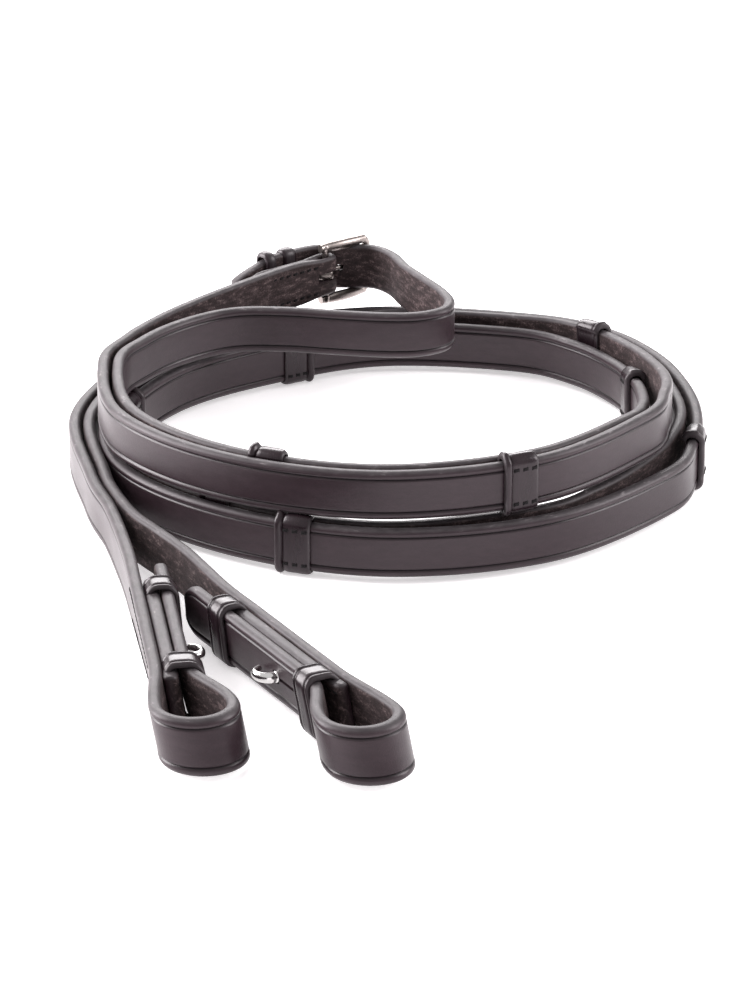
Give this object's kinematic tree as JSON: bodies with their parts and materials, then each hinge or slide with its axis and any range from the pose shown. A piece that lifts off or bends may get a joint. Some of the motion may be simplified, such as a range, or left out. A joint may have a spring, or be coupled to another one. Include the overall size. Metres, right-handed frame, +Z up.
{
  "type": "leather reins",
  "caption": "Pair of leather riding reins with hand stops, joined by a centre buckle, coiled on edge, with a hook-stud billet loop at each bit end.",
  "frame": {"origin": "centre of the coiled reins' bounding box, on the floor they stand on", "axes": "+Z up from the floor, the two bit ends reach towards -Y, +X to the viewer's right when the bit ends are nearest"},
  "size_m": [0.2104, 0.3708, 0.0398],
  "materials": {
    "rein_leather": "satin",
    "keeper_leather": "satin",
    "thread": "matte",
    "buckle_steel": "satin",
    "stud_steel": "polished"
  },
  "bodies": {
    "coiled_reins": {"buckle_keeper_far": "keeper_leather", "buckle_keeper_near": "keeper_leather", "buckle_rein_stop_1": "keeper_leather", "buckle_rein_stop_2": "keeper_leather", "buckle_rein_stop_3": "keeper_leather", "buckle_rein_stop_4": "keeper_leather", "buckle_rein_stop_5": "keeper_leather", "buckle_rein_strap": "rein_leather", "chape_stitches": "thread", "hand_stop_stitches": "thread", "point_rein_stop_1": "keeper_leather", "point_rein_stop_2": "keeper_leather", "point_rein_stop_3": "keeper_leather", "point_rein_stop_4": "keeper_leather", "point_rein_stop_5": "keeper_leather", "point_rein_strap": "rein_leather"},
    "left_bit_end": {"left_billet_stitches": "thread", "left_bit_end_strap": "rein_leather", "left_hook_stud": "stud_steel", "left_keeper_loop": "keeper_leather", "left_keeper_tip": "keeper_leather", "left_stud_backing": "rein_leather"},
    "right_bit_end": {"right_billet_stitches": "thread", "right_bit_end_strap": "rein_leather", "right_hook_stud": "stud_steel", "right_keeper_loop": "keeper_leather", "right_keeper_tip": "keeper_leather", "right_stud_backing": "rein_leather"},
    "buckle_frame_body": {"buckle_frame": "buckle_steel"},
    "buckle_tongue_body": {"buckle_tongue": "buckle_steel"}
  },
  "joints": [
    {"name": "left_end_flex", "type": "hinge", "parent": "coiled_reins", "child": "left_bit_end", "pos_m": [-0.08744, -0.01705, 0.00985], "axis": [0, 0, 1], "range_deg": [-8, 0.4], "stiffness_Nm_per_rad": 0.02},
    {"name": "right_end_flex", "type": "hinge", "parent": "coiled_reins", "child": "right_bit_end", "pos_m": [-0.08594, -0.00705, 0.00985], "axis": [0, 0, 1], "range_deg": [-0.4, 8], "stiffness_Nm_per_rad": 0.02},
    {"name": "buckle_frame_pivot", "type": "hinge", "parent": "coiled_reins", "child": "buckle_frame_body", "pos_m": [-0.02164, 0.17045, 0.0292], "axis": [0, 0, 1], "range_deg": [0, 3]},
    {"name": "buckle_tongue_pivot", "type": "hinge", "parent": "buckle_frame_body", "child": "buckle_tongue_body", "pos_m": [-0.02164, 0.17045, 0.0292], "axis": [0, 0, 1], "range_deg": [0, 2.5]}
  ]
}
